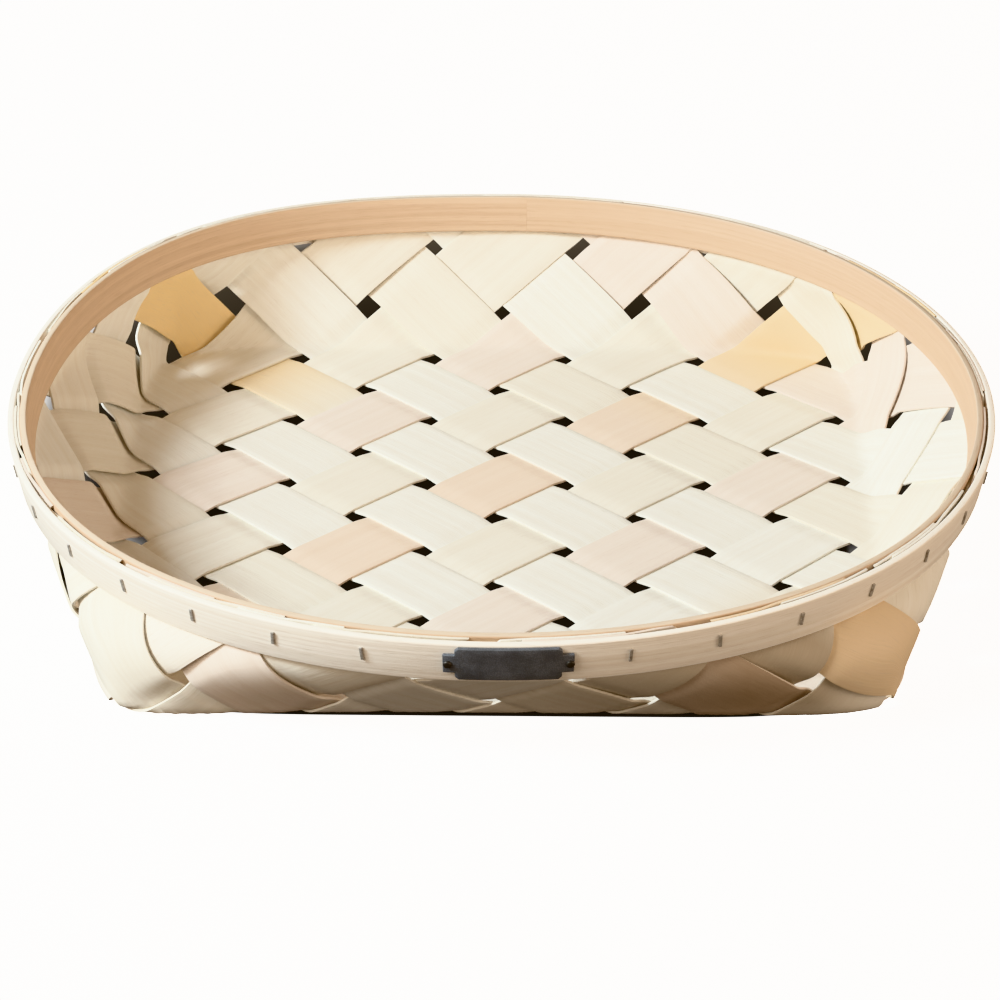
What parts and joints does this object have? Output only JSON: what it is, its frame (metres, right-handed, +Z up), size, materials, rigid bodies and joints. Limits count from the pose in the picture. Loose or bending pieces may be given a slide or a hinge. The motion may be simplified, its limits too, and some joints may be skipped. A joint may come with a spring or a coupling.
{
  "type": "tray basket",
  "caption": "Low round-rimmed tray basket plaited on the bias from flat pale wood splints, with a square base and a stapled hoop rim, for holding bread, fruit or small things.",
  "frame": {"origin": "centre of the tray's outline at the plane the base stands on", "axes": "+Z up, -Y towards the front with the label, +X to the right seen from the front"},
  "size_m": [0.36, 0.3614, 0.0525],
  "materials": {
    "splint_ivory": "raw sliced chip wood, palest ivory, matt",
    "splint_cream": "raw sliced chip wood, cream, matt",
    "splint_rosy": "raw sliced chip wood, rosy cream, matt",
    "splint_peach": "raw sliced chip wood, peach, matt",
    "splint_honey": "raw sliced chip wood, ivory turning honey towards one end, matt",
    "outer_hoop_wood": "bent lath, pale, lightly sanded",
    "inner_hoop_wood": "bent lath, peach tan, lightly sanded",
    "staple_wire": "dull dark wire",
    "label_leather": "bare charcoal, matt",
    "tack_steel": "dark, dull"
  },
  "bodies": {
    "root": {"splint_right_01": "splint_rosy", "splint_right_02": "splint_cream", "splint_right_03": "splint_ivory", "splint_right_04": "splint_rosy", "splint_right_05": "splint_cream", "splint_right_06": "splint_peach", "splint_right_07": "splint_cream", "splint_right_08": "splint_rosy", "splint_right_09": "splint_cream", "splint_right_10": "splint_cream", "splint_left_01": "splint_cream", "splint_left_02": "splint_ivory", "splint_left_03": "splint_cream", "splint_left_04": "splint_ivory", "splint_left_05": "splint_ivory", "splint_left_06": "splint_honey", "splint_left_07": "splint_ivory", "splint_left_08": "splint_cream", "splint_left_09": "splint_ivory", "splint_left_10": "splint_rosy", "outer_hoop": "outer_hoop_wood", "inner_hoop": "inner_hoop_wood", "rim_staple_01": "staple_wire", "rim_staple_02": "staple_wire", "rim_staple_03": "staple_wire", "rim_staple_04": "staple_wire", "rim_staple_05": "staple_wire", "rim_staple_06": "staple_wire", "rim_staple_07": "staple_wire", "rim_staple_08": "staple_wire", "rim_staple_09": "staple_wire", "rim_staple_10": "staple_wire", "rim_staple_11": "staple_wire", "rim_staple_12": "staple_wire", "rim_staple_13": "staple_wire", "rim_staple_14": "staple_wire", "rim_staple_15": "staple_wire", "rim_staple_16": "staple_wire", "rim_staple_17": "staple_wire", "rim_staple_18": "staple_wire", "rim_staple_19": "staple_wire", "rim_staple_20": "staple_wire", "rim_staple_21": "staple_wire", "rim_staple_22": "staple_wire", "rim_staple_23": "staple_wire", "rim_staple_24": "staple_wire", "rim_staple_25": "staple_wire", "rim_staple_26": "staple_wire", "rim_staple_27": "staple_wire", "rim_staple_28": "staple_wire", "rim_staple_29": "staple_wire", "rim_staple_30": "staple_wire", "rim_staple_31": "staple_wire", "rim_staple_32": "staple_wire", "rim_staple_33": "staple_wire", "rim_staple_34": "staple_wire", "label_plate": "label_leather", "label_tack_left": "tack_steel", "label_tack_right": "tack_steel"}
  },
  "joints": []
}
